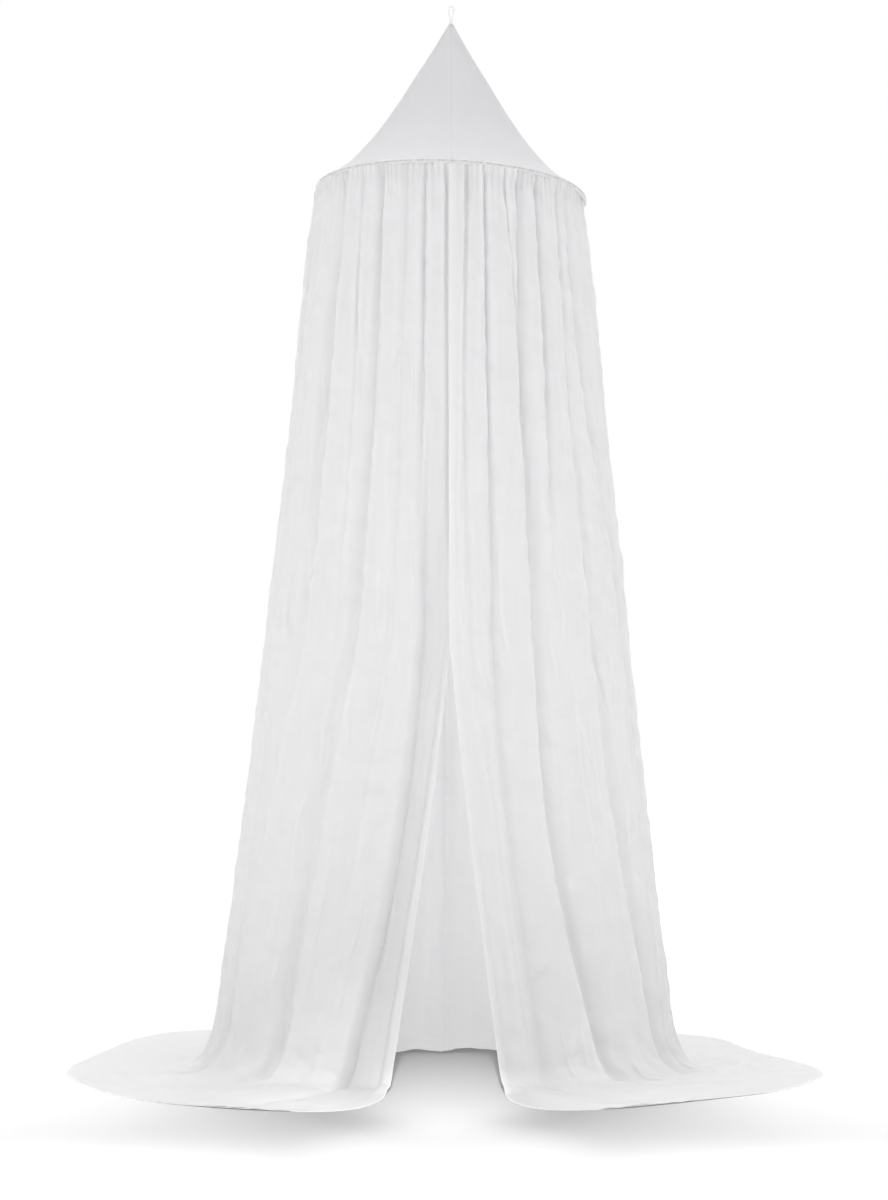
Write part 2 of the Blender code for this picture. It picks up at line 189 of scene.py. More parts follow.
PLACED_CREASES = (
    # share and metres down the cloth where it starts and ends, height, half width
    (0.150, 0.33, 0.146, 0.44, 0.0012, 0.0065),
    (0.147, 0.44, 0.151, 0.53, -0.0010, 0.0065),
    (0.165, 0.70, 0.160, 0.84, -0.0012, 0.0065),
    (0.140, 0.78, 0.130, 0.72, 0.0013, 0.005),
    (0.143, 0.72, 0.133, 0.67, 0.0009, 0.0065),
    (0.138, 0.62, 0.131, 0.57, 0.0008, 0.0065),
    (0.109, 0.14, 0.104, 0.34, -0.0014, 0.0065),
    (0.101, 1.06, 0.105, 0.96, 0.0012, 0.0055),
    (0.098, 0.92, 0.101, 1.00, -0.0008, 0.0065),
    (0.066, 0.44, 0.067, 0.60, 0.0007, 0.0055),
    (0.071, 0.68, 0.069, 0.78, 0.0007, 0.0055),
    (0.022, 0.63, 0.019, 0.72, 0.0012, 0.0065),
    (0.991, 0.45, 0.990, 0.72, 0.0009, 0.0055),
    (0.986, 0.55, 0.984, 0.82, 0.0008, 0.0055),
    (0.975, 0.83, 0.965, 0.92, 0.0010, 0.0055),
    (0.979, 1.00, 0.962, 1.03, -0.0010, 0.0055),
    (0.970, 1.11, 0.963, 1.15, 0.0012, 0.0055),
    (0.972, 1.40, 0.947, 1.37, 0.0018, 0.0065),
    (0.950, 0.62, 0.945, 0.88, 0.0009, 0.0055),
    (0.907, 0.80, 0.904, 0.90, 0.0009, 0.0055),
    (0.912, 0.935, 0.875, 0.925, 0.0007, 0.0055),
    (0.912, 0.960, 0.873, 0.950, -0.0007, 0.0055),
    (0.893, 0.95, 0.880, 1.06, 0.0010, 0.0055),
    (0.867, 0.78, 0.856, 0.82, 0.0012, 0.0065),
    (0.862, 0.82, 0.853, 0.98, -0.0014, 0.006),
    (0.862, 0.46, 0.858, 0.70, -0.0012, 0.0065),
    (0.844, 0.48, 0.820, 0.74, 0.0018, 0.006),
    (0.838, 0.56, 0.812, 0.64, -0.0012, 0.005),
    (0.850, 0.30, 0.838, 0.24, -0.0012, 0.0065),
)

# Layers of uneven creases: height, size across, slant in sizes a metre down, size down, seed.
HANGING_CREASES = (
    (0.0022, 0.030, 0.0, 0.34, 1),
    (0.0009, 0.015, 0.6, 0.20, 2),
    (0.0009, 0.014, 0.0, 0.045, 3),
    (0.0014, 0.026, 1 / 0.034, 0.024, 4),
    (0.0011, 0.030, -1 / 0.05, 0.019, 11),
)
LYING_CREASES = (
    (0.0042, 0.10, 0.0, 0.065, 5),
    (0.0024, 0.045, 0.0, 0.030, 6),
)
CREASE_LINES = ((0.0018, 9), (-0.0009, 10))  # height, seed

GATHERS = 150  # round the whole heading
GATHER_HEIGHTS = ((0.0011, 0.022), (0.0005, 0.09))  # height, metres down over which it fades
PUCKER_HEIGHT = 0.0016
PUCKER_REACH = 0.013  # on either side of a seam
SEAM_RIDGE = 0.0008
SEAM_HALF_WIDTH = 0.0035

EDGE_CURLS = (
    # edge's share, height, metres down where it starts, over which it grows, width, softness
    (0, 0.009, 0.55, 0.30, 0.021, 0.009),
    (1, 0.004, 0.95, 0.25, 0.012, 0.006),
)
CURL_LOST = 0.6  # share of the curl that is lost on the floor

HEADING_OUT = 0.0038  # how far the heading stands out under the casing
HEADING_UP = 0.0008
HEADING_TUCK = 0.0070  # how much less where it is tucked behind the casing
TUCK_PLACE = 0.775
TUCK_SPREAD = 0.035

HEM_WAVES = ((0.0045, 34, 12), (0.002, 90, 13))  # height, waves round the hem, seed

# Level and the whole skirt's width there, then level and metres down the cloth from the hoop.
CLOTH_WIDTH = ((0, 1.56), (0.5, 2.00), (1, 2.30), (2, 2.38), (2.5, 3.02), (3, HEM_LENGTH))
CLOTH_RUN = ((0, 0.00), (1, 1.54), (2, 1.72), (3, 2.01))
HANG_RUN = CLOTH_RUN[1][1]
HEM_RUN = CLOTH_RUN[-1][1]

# From level, to level, rows: close together at the heading, in the bend and at the hem.
ROWS_DOWN = ((0, 0.06, 22), (0.06, 1, 191), (1, 2, 18), (2, 2.86, 22), (2.86, 3, 12))

PANELS = (
    # name, replaces, starts at, ends at, columns
    ("voile_left", "skirt_left", 0.0, LEFT_SEAM, 176),
    ("voile_back_left", "skirt_back_left", LEFT_SEAM, BACK_SEAM, 168),
    ("voile_back_right", "skirt_back_right", BACK_SEAM, RIGHT_SEAM, 168),
    ("voile_right", "skirt_right", RIGHT_SEAM, 1.0, 180),
)

# ---------- sizes of cone, casing and cord
CONE_SLANT = 0.405  # from the point to the hoop along the cloth
CONE_VOILE = 0.001  # thickness where it is sewn in at the hoop
CONE_SEAM_TURN = 0.00002  # half the gap at the cone's seams, in radians
CONE_MEAN_RADIUS = 0.16
CONE_COLUMNS, CONE_ROWS = 165, 131
# Layers of slack: height, size round in radians, sizes down, seed.
CONE_SLACK = ((0.0022, 0.32, 2.2, 21), (0.0009, 0.11, 5.0, 22))

CASING_TURNS, CASING_SIDES = 820, 26
GROOVE_AT, GROOVE_WIDTH = 0.20, 0.36  # of the casing's seam round the wire, in radians
GROOVE_DEPTH = 0.0014
RUFFLE = 0.0042  # size of the casing's gathers

CORD_SIDES = 18
CORD_LAY = 0.0075  # length of one turn of the strands

# ---------- colours, light and view
VOILES = (
    # name, colours of cloth, of hem and of the light through it, its share, height of crinkle
    ("white voile", (0.952, 0.952, 0.956), (0.954, 0.954, 0.958), (0.936, 0.936, 0.939),
     0.60, 0.0022),
    # The cone's voile is the skirt's white cloth with its colours painted darker: painted shade.
    ("taut voile", (0.797, 0.797, 0.807), (0.805, 0.805, 0.815), (0.765, 0.765, 0.775),
     0.50, 0.0004),
    # On the casing the cloth colour is painted shade in the groove of its seam, and the hem colour
    # is the casing away from the groove.
    ("gathered voile", (0.45, 0.45, 0.45), (0.88, 0.88, 0.88), (0.85, 0.85, 0.85),
     0.30, 0.0022),
)
VALLEY_SHADE = 0.87  # painted shade in a valley: its colour as a share of the colour on a ridge
THREAD_COLOUR = (0.93, 0.93, 0.93)

SKY_LIGHT = 0.79  # strength as light; seen directly the sky is 1
FLOOR_COLOURS = (0.405, 0.405, 0.405), (0.42, 0.42, 0.42)
SOFT_KEYS = (
    # name, watts, place
    ("soft key left", 4.0, (-2.4, -2.2, -0.2)),
    ("soft key right", 1.5, (2.4, -2.2, -0.2)),
)
KEY_TARGET = (0, 0, -1.1)
SUNS_ON_FLOOR = (
    # name, strength, spread in degrees, place
    ("floor light behind", 3.6, 30, (0, 3.7, 2.4)),
    ("floor light left", 2.15, 30, (-2.2, 2.9, 2.4)),
    ("floor light right", 2.15, 30, (2.2, 2.9, 2.4)),
)
SUNS_ON_CANOPY = (
    ("top light", 2.4, 70, (0, -0.6, 2.0)),
    ("back light", 0.9, 60, (0, 4.0, 0.0)),
)
SPOTS_ON_FLOOR = (
    # name, watts, spread in degrees, soft share of it, place, target on the floor
    ("fill in the opening", 490.0, 12, 1.0, (-0.01, -2.2, -1.0), (-0.01, -0.18)),
    ("fill between the panels", 265.0, 10, 1.0, (-0.01, -0.9, 1.0), (-0.01, -0.71)),
    ("fill in front left", 440.0, 30, 0.7, (-0.46, -2.6, 0.6), (-0.46, -1.49)),
    ("fill in front right", 440.0, 30, 0.7, (0.44, -2.6, 0.6), (0.44, -1.49)),
)
SPOTS_ON_CANOPY = (
    ("fill at the left foot", 85.0, 10, 1.0, (0.2, -2.6, -0.7), (-0.19, -0.25)),
    ("fill at the right foot", 40.0, 10, 1.0, (0.8, -2.6, -0.7), (0.27, -0.25)),
)

CAMERA_PLACE = (-0.013, -4.0, 0.622 - HANG_HEIGHT)
SENSOR_WIDTH = 36.0
FOCAL_SHARE = 2160 / 1200  # focal length as a share of the sensor's width
HORIZON_SHIFT = 139 / 1200  # a level camera with the horizon below the middle of the frame


# ---------- small helpers
def smooth(x):
    x = np.clip(x, 0.0, 1.0)
    return x * x * (3.0 - 2.0 * x)


def unit(vectors):
    return vectors / np.linalg.norm(vectors, axis=-1, keepdims=True)


def arc(start, corner, end, w):
    """A curve from start to end that heads for the corner between them."""
    return (1 - w) ** 2 * start + 2 * w * (1 - w) * corner + w * w * end


def laid(flat):
    """Places on the floor as points."""
    return np.concatenate([flat, np.zeros_like(flat[..., :1])], -1)


def outward_of(surface, share, level, side, down):
    """The outward direction of a surface, from its points beside, above and below."""
    left, right = np.clip(share - side, 0, 1), np.clip(share + side, 0, 1)
    above, below = np.clip(level - down, 0, 3), np.clip(level + down, 0, 3)
    across = surface(right, level) - surface(left, level)
    return unit(np.cross(across, surface(share, below) - surface(share, above)))


def through(rows, at):
    """A smooth curve through rows of (place, value, ...), read at an array of places."""
    table = np.array(rows, float)
    place, value = table[:, 0], table[:, 1:]
    slope = np.gradient(value, place, axis=0)
    at = np.asarray(at, float)
    i = np.clip(np.searchsorted(place, at) - 1, 0, len(place) - 2)
    span = place[i + 1] - place[i]
    u = ((at - place[i]) / span)[..., None]
    span = span[..., None]
    start = (2 * u**3 - 3 * u**2 + 1) * value[i] + (u**3 - 2 * u**2 + u) * span * slope[i]
    end = (3 * u**2 - 2 * u**3) * value[i + 1] + (u**3 - u**2) * span * slope[i + 1]
    return start + end


def read(rows, at):
    """Straight lines through rows of (place, value)."""
    table = np.array(rows, float)
    return np.interp(at, table[:, 0], table[:, 1])


def by_level(values, drop):
    """A smooth curve through values at 0, 1/4, 1/2, 3/4 and the whole of the drop."""
    return through([(i / 4, value) for i, value in enumerate(values)], drop)[..., 0]


def soft_noise(x, y, seed):
    """Smooth unevenness from -1 to 1 over a plane."""
    heights = np.random.default_rng(seed).uniform(-1, 1, (64, 64))
    i, j = np.floor(x).astype(int), np.floor(y).astype(int)
    u, v = smooth(x - i), smooth(y - j)
    near = heights[i % 64, j % 64] * (1 - v) + heights[i % 64, (j + 1) % 64] * v
    far = heights[(i + 1) % 64, j % 64] * (1 - v) + heights[(i + 1) % 64, (j + 1) % 64] * v
    return near * (1 - u) + far * u


# ---------- the skirt's form
def hoop_line(share):
    """Where the cloth leaves the casing, round the hoop from the front, left side first."""
    turn = LEFT_UNDER - share * (2 * math.pi + LEFT_UNDER + RIGHT_OVER)
    x = HOOP_RADIUS * np.sin(turn)
    y = -HOOP_RADIUS * np.cos(turn)
    below = HOOP_WIRE_RADIUS + PIECE_GAP + CASING_WALL + PIECE_GAP
    return np.stack([x, y, HOOP_HEIGHT - below - HOOP_LEAN * x], -1)


def stand_line(share):
    """The section in which the skirt stands on the floor, without its folds."""
    turn = -(OPEN_LEFT + share * (2 * math.pi - OPEN_LEFT - OPEN_RIGHT))
    half_width = np.where(np.sin(turn) < 0, STAND_LEFT, STAND_RIGHT)
    half_depth = np.where(np.cos(turn) > 0, STAND_FRONT, STAND_BACK)
    return np.stack([half_width * np.sin(turn), -half_depth * np.cos(turn)], -1)


def edge_pull(share):
    """1 at the two front edges, 0 away from them."""
    near = np.minimum(share, 1 - share) / EDGE_REACH
    return np.exp(-near * near)


def drop_line(share, drop):
    """The hanging stretch without folds, from the hoop (drop 0) to the floor (drop 1)."""
    top, foot = hoop_line(share), stand_line(share)
    opened = np.clip((drop - OPEN_FROM) / (1 - OPEN_FROM), 0, 1)
    held_back = opened**OPEN_CURVE
    spread = drop + (held_back - drop) * edge_pull(share)
    flat = top[..., :2] + (foot - top[..., :2]) * spread[..., None]
    return np.concatenate([flat, (top[..., 2] * (1 - drop))[..., None]], -1)


def base_cloth(share, level):
    """The skirt without folds: hanging, bending onto the floor and lying on it."""
    pull = edge_pull(share)
    behind = smooth(1.6 - np.abs(share - 0.5) / 0.15)
    bend = BEND_BODY + (BEND_EDGE - BEND_BODY) * pull + (BEND_BACK - BEND_BODY) * behind
    top_height = hoop_line(share)[..., 2]
    bend_starts = 1 - bend / top_height
    hanging = drop_line(share, np.clip(level, 0, 1) * bend_starts)

    step = 0.002
    start = drop_line(share, bend_starts)
    slope = (start - drop_line(share, bend_starts - step)) / step
    corner = start + slope * (1 - bend_starts)[..., None]
    corner[..., 2] = 0.0

    hem = through(HEM_LINE, share)
    side = 0.001
    along = unit(stand_line(np.clip(share + side, 0, 1)) - stand_line(np.clip(share - side, 0, 1)))
    outward = np.stack([-along[..., 1], along[..., 0]], -1)
    outward = outward * np.sign(np.sum(outward * corner[..., :2], -1, keepdims=True))
    straight = hem - corner[..., :2]
    reach = np.linalg.norm(straight, axis=-1, keepdims=True)
    forward = pull[..., None] ** 4
    heading = unit(straight / reach * (1 - forward) + outward * forward)
    landing = corner[..., :2] + heading * bend[..., None]
    sweep = SIDE_SWEEP * reach * (1 - forward) + EDGE_SWEEP * forward
    turning = landing + heading * sweep

    bending = arc(start, corner, laid(landing), np.clip(level - 1, 0, 1)[..., None])
    lying = laid(arc(landing, turning, hem, np.clip(level - 2, 0, 1)[..., None]))
    on_floor = np.where((level <= 2)[..., None], bending, lying)
    return np.where((level <= 1)[..., None], hanging, on_floor)


def troughs():
    """Every trough: those of the front, and a run of uneven ones across the back panels."""
    rows = [
        (near / 1000, far / 1000, [at / 1000 for at in places], [deep / 1000 for deep in depths])
        for near, far, places, depths in FRONT_TROUGHS
    ]
    step = (RIGHT_SEAM - LEFT_SEAM) / BACK_TROUGHS
    for i in range(BACK_TROUGHS):
        uneven = math.sin(2.3 * i + 2.18)
        place = LEFT_SEAM + (i + 0.5 + 0.22 * uneven) * step
        calm = 0.45 * math.exp(-(((place - BACK_SEAM) / 0.03) ** 2))
        calm += 0.35 * math.exp(-(((place - LEFT_SEAM) / 0.04) ** 2))
        strength = 1 + 0.3 * math.sin(1.7 * i + 4.4) - calm
        places = [place + bow * step * uneven for bow in BACK_BOW]
        depths = [depth * strength for depth in BACK_DEPTHS]
        rows.append((*BACK_HALF_WIDTHS, places, depths))
    return rows


def fold_depth(share, drop):
    """How far the troughs lie behind the ridges. A trough has one half width on the side of the
    nearer front edge and another on the far side, and both are narrower at the hoop."""
    depth = np.zeros(np.broadcast(share, drop).shape)
    opened = 0.75 + 0.25 * smooth(drop / 0.5)
    for near, far, places, depths in troughs():
        to_front = -1 if places[0] < 0.5 else 1
        off = (share - by_level(places, drop)) * to_front
        half_width = np.where(off > 0, near, far) * opened
        depth += np.maximum(by_level(depths, drop), 0) / (1 + (off / half_width) ** 2) ** 2
    return depth * (0.25 + 0.75 * smooth(drop / GATHERED))


def fold_keep(level):
    """The share of a fold's depth that is left in the bend and on the floor."""
    return 1 - FOLD_LOST_IN_BEND * smooth(level - 1) - FOLD_LOST_ON_FLOOR * smooth(level - 2)


def fullness(share, drop):
    """The gathers push the cloth out a little below the hoop, most of all on the left."""
    left = np.exp(-(((share - 0.24) / 0.10) ** 2))
    below = drop / FULL_AT
    return (FULL_ALL_ROUND + FULL_ON_LEFT * left) * below * np.exp(1 - below)


def cloth(share, level):
    """The middle of the skirt's cloth, with its folds."""
    normal = outward_of(base_cloth, share, level, 0.0005, 0.004)
    landed = smooth(level - 1)
    lift = RIDGE_ON_FLOOR + (RIDGE_AT_HEM - RIDGE_ON_FLOOR) * smooth(level - 2)
    drop = np.clip(level, 0, 1)
    rise = lift * landed + fullness(share, drop) - fold_depth(share, drop) * fold_keep(level)
    folded = base_cloth(share, level) + normal * rise[..., None]
    return above_floor(folded, SKIRT_CLOTH / 2 + PIECE_GAP)


def above_floor(points, lowest):
    """Points that would sink below the floor settle softly on it."""
    above = points[..., 2] - lowest
    points[..., 2] = lowest + 0.5 * (above + np.sqrt(above * above + SETTLING * SETTLING))
    return points


# ---------- the skirt's fine relief
def distances(share, level):
    """Metres from the nearer front edge, up from the hem, and from the nearest panel seam."""
    width = read(CLOTH_WIDTH, level)
    front = np.minimum(share, 1 - share) * width
    hem = HEM_RUN - read(CLOTH_RUN, level)
    seam = np.min([np.abs(share - s) for s in (LEFT_SEAM, BACK_SEAM, RIGHT_SEAM)], axis=0) * width
    return front, hem, seam


def placed_creases(share, down):
    """Height of the creases of the table, each along a straight line on the cloth."""
    height = np.zeros(share.shape)
    across = share * CREASE_WIDTH
    for share_a, down_a, share_b, down_b, high, half_width in PLACED_CREASES:
        ahead = np.array([(share_b - share_a) * CREASE_WIDTH, down_b - down_a])
        length = np.hypot(*ahead)
        from_a = across - share_a * CREASE_WIDTH
        u = (from_a * ahead[0] + (down - down_a) * ahead[1]) / length**2
        off = (from_a * ahead[1] - (down - down_a) * ahead[0]) / length
        bow = 0.12 * length * (u - 0.5) ** 2
        taper = smooth(np.minimum(u, 1 - u) / 0.35 + 0.1)
        height += high * taper / (1 + ((off + bow) / half_width) ** 2) ** 2
    return height


def uneven_creases(layers, across, down):
    """Height of layers of soft uneven creases."""
    return sum(
        height * soft_noise(across / wide + slant * down, down / long, seed)
        for height, wide, slant, long, seed in layers
    )


def crease_lines(across, down, seed):
    """Thin wandering creases that come and go."""
    line = np.maximum(0, 1 - np.abs(soft_noise(across / 0.040, down / 0.13, seed)) / 0.20)
    there = smooth(0.3 + 1.6 * soft_noise(across / 0.09, down / 0.12, seed + 50))
    return line * there


def edge_curls(share, down, lying):
    """Height of the curl along the two free front edges."""
    height = np.zeros(share.shape)
    for edge, high, start, growth, width, softness in EDGE_CURLS:
        from_edge = np.abs(share - edge) * CREASE_WIDTH
        near = smooth((width - from_edge) / softness)
        height += high * smooth((down - start) / growth) * near * (1 - CURL_LOST * lying)
    return height


def fine_relief(share, level):
    """Height of the small creases, gathers, puckers and hems over the folded cloth."""
    front, _, seam = distances(share, level)
    across, down = share * GRAIN_WIDTH, read(CLOTH_RUN, level)
    lying = smooth(level - 1.3)

    hanging = uneven_creases(HANGING_CREASES, across, down)
    for height, seed in CREASE_LINES:
        hanging = hanging + height * crease_lines(across, down, seed)
    relief = hanging * (1 - 0.5 * lying) + uneven_creases(LYING_CREASES, across, down) * lying
    relief += CREASE_GAIN * placed_creases(share, down)

    gathers = np.cos(2 * math.pi * (share * GATHERS + 0.35 * soft_noise(share * 60, down * 0, 7)))
    for height, fades_over in GATHER_HEIGHTS:
        relief += height * gathers * np.exp(-down / fades_over)

    below_heading = smooth(down / 0.05)
    pucker = soft_noise(down / 0.013, across / 0.02, 8) * np.exp(-seam / PUCKER_REACH)
    relief += PUCKER_HEIGHT * pucker * below_heading
    relief += SEAM_RIDGE * smooth(1 - seam / SEAM_HALF_WIDTH)

    off_hem = smooth(front / 0.035)
    return relief * (0.25 + 0.75 * off_hem) + edge_curls(share, down, lying)


def heading_shift(share, down):
    """The gathered heading stands out under the casing, and is tucked behind it on the right."""
    outward = hoop_line(share)
    outward = unit(outward[..., :2])
    tucked = np.exp(-(((share - TUCK_PLACE) / TUCK_SPREAD) ** 2))
    fades_over = 0.030 + 0.03 * tucked
    out = (HEADING_OUT - HEADING_TUCK * tucked) * (1 - smooth(down / fades_over))
    up = HEADING_UP * (1 - smooth(down / 0.006))
    return np.concatenate([outward * out[..., None], up[..., None]], -1)


def fine_cloth(share, level):
    """The middle of the skirt's cloth, with its folds and its fine relief."""
    normal = outward_of(cloth, share, level, 0.001, 0.01)
    points = cloth(share, level) + normal * fine_relief(share, level)[..., None]
    points = points + heading_shift(share, read(CLOTH_RUN, level))
    points = above_floor(points, SKIRT_CLOTH / 2 + PIECE_GAP)
    return settle_hem(points, share, level)


def settle_hem(points, share, level):
    """The hem and the front edges come down flat on the floor, along a slightly wavy line."""
    front, _, _ = distances(share, level)
    hem_down = smooth((level - 2.72) / 0.22)
    edge_down = smooth((level - 1.7) / 0.4) * smooth((0.045 - front) / 0.035)
    down = np.maximum(hem_down, edge_down)
    points[..., 2] += (HEM_VOILE / 2 + HEM_CLEARANCE - points[..., 2]) * down
    wave = sum(
        height * soft_noise(share * waves, share * 0, seed) for height, waves, seed in HEM_WAVES
    )
    outward = unit(through(HEM_LINE, share))
    points[..., :2] += outward * (wave * smooth((level - 2.3) / 0.7))[..., None]
    return points


def fold_shading(share, level):
    """How sharply the cloth bends, for painted light on sharp ridges (1) and painted shade in sharp
    valleys (below 0).
    """
    step, drop_step = 0.0012, 0.003
    keep = fold_keep(level)
    across, down = [], []
    for near in (-1, 0, 1):
        there = np.clip(share + near * step, 0, 1)
        across.append(fine_relief(there, level) - fold_depth(there, np.clip(level, 0, 1)) * keep)
        down.append(fine_relief(share, np.clip(level + near * drop_step, 0, 3)))
    bend = (across[0] + across[2] - 2 * across[1]) / (step * CREASE_WIDTH) ** 2
    bend += DOWN_BEND * (down[0] + down[2] - 2 * down[1]) / (drop_step * HANG_RUN) ** 2
    return np.clip(-bend / SHARP_BEND, SHARPEST_VALLEY, 1)


def panel_levels():
    """The levels of a panel's rows."""
    rows = [np.linspace(start, end, count + 1)[1:] for start, end, count in ROWS_DOWN]
    return np.concatenate([[0.0], *rows])


def columns_across(start, end, count):
    """Places across a panel, closer together at the troughs."""
    places = np.linspace(start, end, 4001)
    crowd = np.ones_like(places)
    for near, far, across, _ in troughs():
        crowd += 0.9 * np.exp(-(((places - across[1]) / (near + far)) ** 2))
    run = np.concatenate([[0], np.cumsum(crowd[1:] + crowd[:-1])])
    return np.interp(np.linspace(0, run[-1], count + 1), run, places)


# ---------- meshes
def mesh_object(name, points, faces, uv, masks):
    """A smooth mesh with a UV map in metres, and masks with a value a point."""
    mesh = bpy.data.meshes.new(name)
    lowered = points - np.array([0, 0, HANG_HEIGHT])
    mesh.from_pydata(lowered.reshape(-1, 3), [], faces)
    corners = np.concatenate(faces)
    layer = mesh.uv_layers.new(name="cloth")
    layer.data.foreach_set("uv", uv.reshape(-1, 2)[corners].astype(np.float32).ravel())
    for mask_name, values in masks.items():
        attribute = mesh.attributes.new(mask_name, "FLOAT", "POINT")
        attribute.data.foreach_set("value", values.astype(np.float32).ravel())
    mesh.shade_smooth()
    made = bpy.data.objects.new(name, mesh)
    bpy.context.scene.collection.objects.link(made)
    return made


def sheet_object(name, middle, uv, masks):
    """An open sheet over a grid of points that runs across and down."""
    columns, rows = middle.shape[:2]
    number = np.arange(columns * rows).reshape(columns, rows)
    faces = np.stack([number[:-1, :-1], number[1:, :-1], number[1:, 1:], number[:-1, 1:]], -1)
    return mesh_object(name, middle, faces.reshape(-1, 4).tolist(), uv, masks)


def thicken(piece, thickness, thin_share, layers):
    """Gives an open sheet its thickness, full where layers is 1 and thin_share of it at 0."""
    group = piece.vertex_groups.new(name="layers")
    for index, value in enumerate(layers.ravel()):
        group.add([index], float(value), "REPLACE")
    wall = piece.modifiers.new("layers of cloth", "SOLIDIFY")
    wall.thickness = thickness
    wall.offset = 0.0
    wall.vertex_group = "layers"
    wall.thickness_vertex_group = thin_share
    apply_modifiers(piece)


def apply_modifiers(piece):
    """Works the modifiers into the mesh, and keeps its sharp edges sharp."""
    bpy.ops.object.select_all(action="DESELECT")
    bpy.context.view_layer.objects.active = piece
    piece.select_set(True)
    for modifier in list(piece.modifiers):
        bpy.ops.object.modifier_apply(modifier=modifier.name)
    piece.data.set_sharp_from_angle(angle=math.radians(60))
    piece.select_set(False)


def finish_piece(piece, material, slot, *replaced):
    """Gives a piece its material, hides the solids that it stands for and attaches it to the body
    with which it moves.
    """
    piece.data.materials.clear()
    piece.data.materials.append(material)
    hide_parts(*replaced)
    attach(piece, "root")


# ---------- materials
class Nodes:
    """Places nodes in a tree and wires them, with each input given as a value or a socket."""

    def __init__(self, tree):
        self.tree = tree

    def add(self, kind, settings=None, **inputs):
        node = self.tree.nodes.new(kind)
        for name, value in (settings or {}).items():
            setattr(node, name, value)
        for name, value in inputs.items():
            key = int(name[1:]) if name[0] == "i" and name[1:].isdigit() else name.replace("_", " ")
            self.put(node.inputs[key], value)
        return node

    def put(self, socket, value):
        if isinstance(value, bpy.types.NodeSocket):
            self.tree.links.new(value, socket)
        else:
            socket.default_value = value

    def math(self, operation, a, b=0.0, c=0.0):
        node = self.add("ShaderNodeMath", {"operation": operation}, i0=a, i1=b, i2=c)
        return node.outputs[0]

    def noise(self, place, **inputs):
        return self.add("ShaderNodeTexNoise", Vector=place, **inputs).outputs[0]

    def mask(self, name):
        return self.add("ShaderNodeAttribute", {"attribute_name": name}).outputs["Fac"]

    def mix(self, share, first, second):
        """A colour between two, each given as a socket or as red, green and blue."""
        first, second = ((*c, 1) if isinstance(c, tuple) else c for c in (first, second))
        settings = {"data_type": "RGBA"}
        return self.add("ShaderNodeMix", settings, i0=share, i6=first, i7=second).outputs[2]

    def ramp(self, value, start, end, high):
        spans = {"From_Min": start, "From_Max": end, "To_Max": high}
        return self.add("ShaderNodeMapRange", Value=value, **spans).outputs[0]

    def cloth_uv(self):
        return self.add("ShaderNodeUVMap", {"uv_map": "cloth"}).outputs[0]

    def bump(self, strength, distance, height, **inputs):
        inputs.update(Strength=strength, Distance=distance, Height=height)
        return self.add("ShaderNodeBump", **inputs).outputs[0]

    def mapped(self, place, **inputs):
        return self.add("ShaderNodeMapping", Vector=place, **inputs).outputs[0]

    def principled(self, colour, rough, **inputs):
        inputs.update(Base_Color=colour, Roughness=rough)
        return self.add("ShaderNodeBsdfPrincipled", **inputs).outputs[0]

    def surface(self, shader):
        self.add("ShaderNodeOutputMaterial", Surface=shader)


def group_tree(name, inputs, outputs):
    """A new node group. An input is a vector if its starting value is None, else a number."""
    tree = bpy.data.node_groups.new(name, "ShaderNodeTree")
    for socket_name, default in inputs.items():
        kind = "NodeSocketVector" if default is None else "NodeSocketFloat"
        socket = tree.interface.new_socket(socket_name, in_out="INPUT", socket_type=kind)
        if default is not None:
            socket.default_value = default
    for socket_name in outputs:
        tree.interface.new_socket(socket_name, in_out="OUTPUT", socket_type="NodeSocketFloat")
    nodes = Nodes(tree)
    return tree, nodes, nodes.add("NodeGroupInput").outputs, nodes.add("NodeGroupOutput").inputs


def voile_weave_group():
    """Plain weave of fine uneven threads: its height, and a mask of the thicker threads."""
    tree, nodes, given, out = group_tree(
        "Voile weave", {"Vector": None, "Thread Pitch": 0.0006, "Slub": 0.5}, ("Height", "Slubs")
    )
    parts = nodes.add("ShaderNodeSeparateXYZ", Vector=given["Vector"]).outputs
    threads = []
    for axis in ("X", "Y"):
        turns = nodes.math("DIVIDE", parts[axis], given["Thread Pitch"])
        wave = nodes.math("SINE", nodes.math("MULTIPLY", turns, 2 * math.pi))
        threads.append(nodes.math("ABSOLUTE", wave))
    weave = nodes.math("MULTIPLY", nodes.math("ADD", threads[0], threads[1]), 0.5)
    slubs = []
    fine, long = 900.0, 40.0
    for stretch in ((fine, long, 1.0), (long, fine, 1.0)):
        placed = nodes.mapped(given["Vector"], Scale=stretch)
        slubs.append(nodes.noise(placed, Scale=0.35, Detail=2.0, Roughness=0.6))
    slub = nodes.math("SUBTRACT", nodes.math("ADD", slubs[0], slubs[1]), 1.0)
    nodes.put(out["Slubs"], slub)
    slub_height = nodes.math("MULTIPLY", slub, given["Slub"])
    nodes.put(out["Height"], nodes.math("ADD", weave, slub_height))
    return tree


